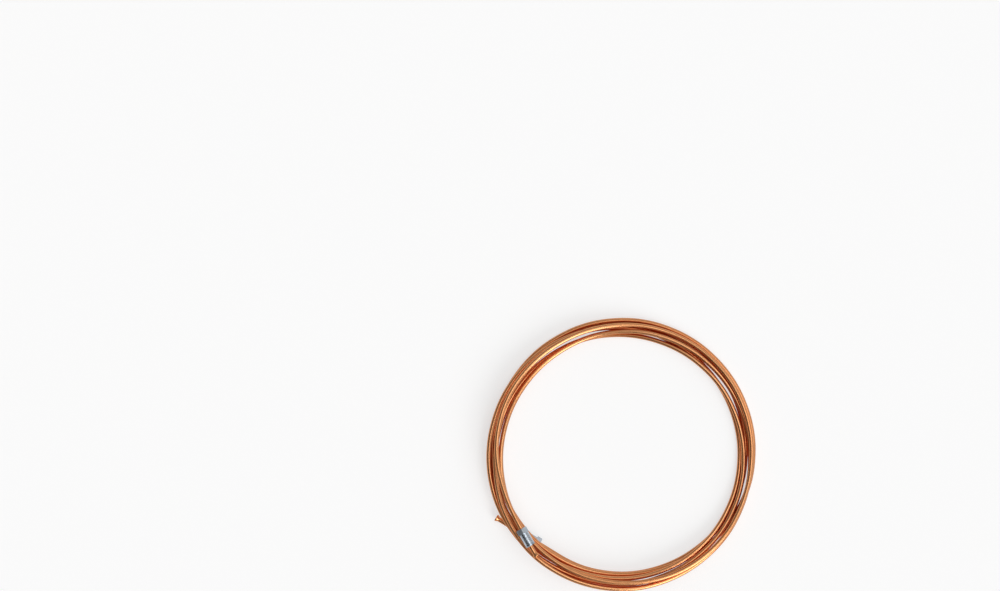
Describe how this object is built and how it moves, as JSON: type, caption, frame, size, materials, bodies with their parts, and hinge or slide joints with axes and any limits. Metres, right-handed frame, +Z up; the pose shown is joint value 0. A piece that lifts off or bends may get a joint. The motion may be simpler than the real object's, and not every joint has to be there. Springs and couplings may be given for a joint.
{
  "type": "copper tube coil",
  "caption": "Length of flared copper tube wound by hand into a loose flat coil, with a zinc-plated steel tube nut on each end.",
  "frame": {"origin": "on the floor, under the middle of the coil", "axes": "+Z up from the floor through the eye of the coil; +X and +Y lie in the plane of the coil, with +Y away from the side where the two ends cross"},
  "size_m": [0.27, 0.2737, 0.0373],
  "materials": {
    "copper": "bright drawn copper",
    "zinc_plate": "bright zinc plate, faintly blue"
  },
  "bodies": {
    "root": {"copper_tube": "copper", "tube_nut_lower": "zinc_plate", "tube_nut_upper": "zinc_plate"}
  },
  "joints": []
}
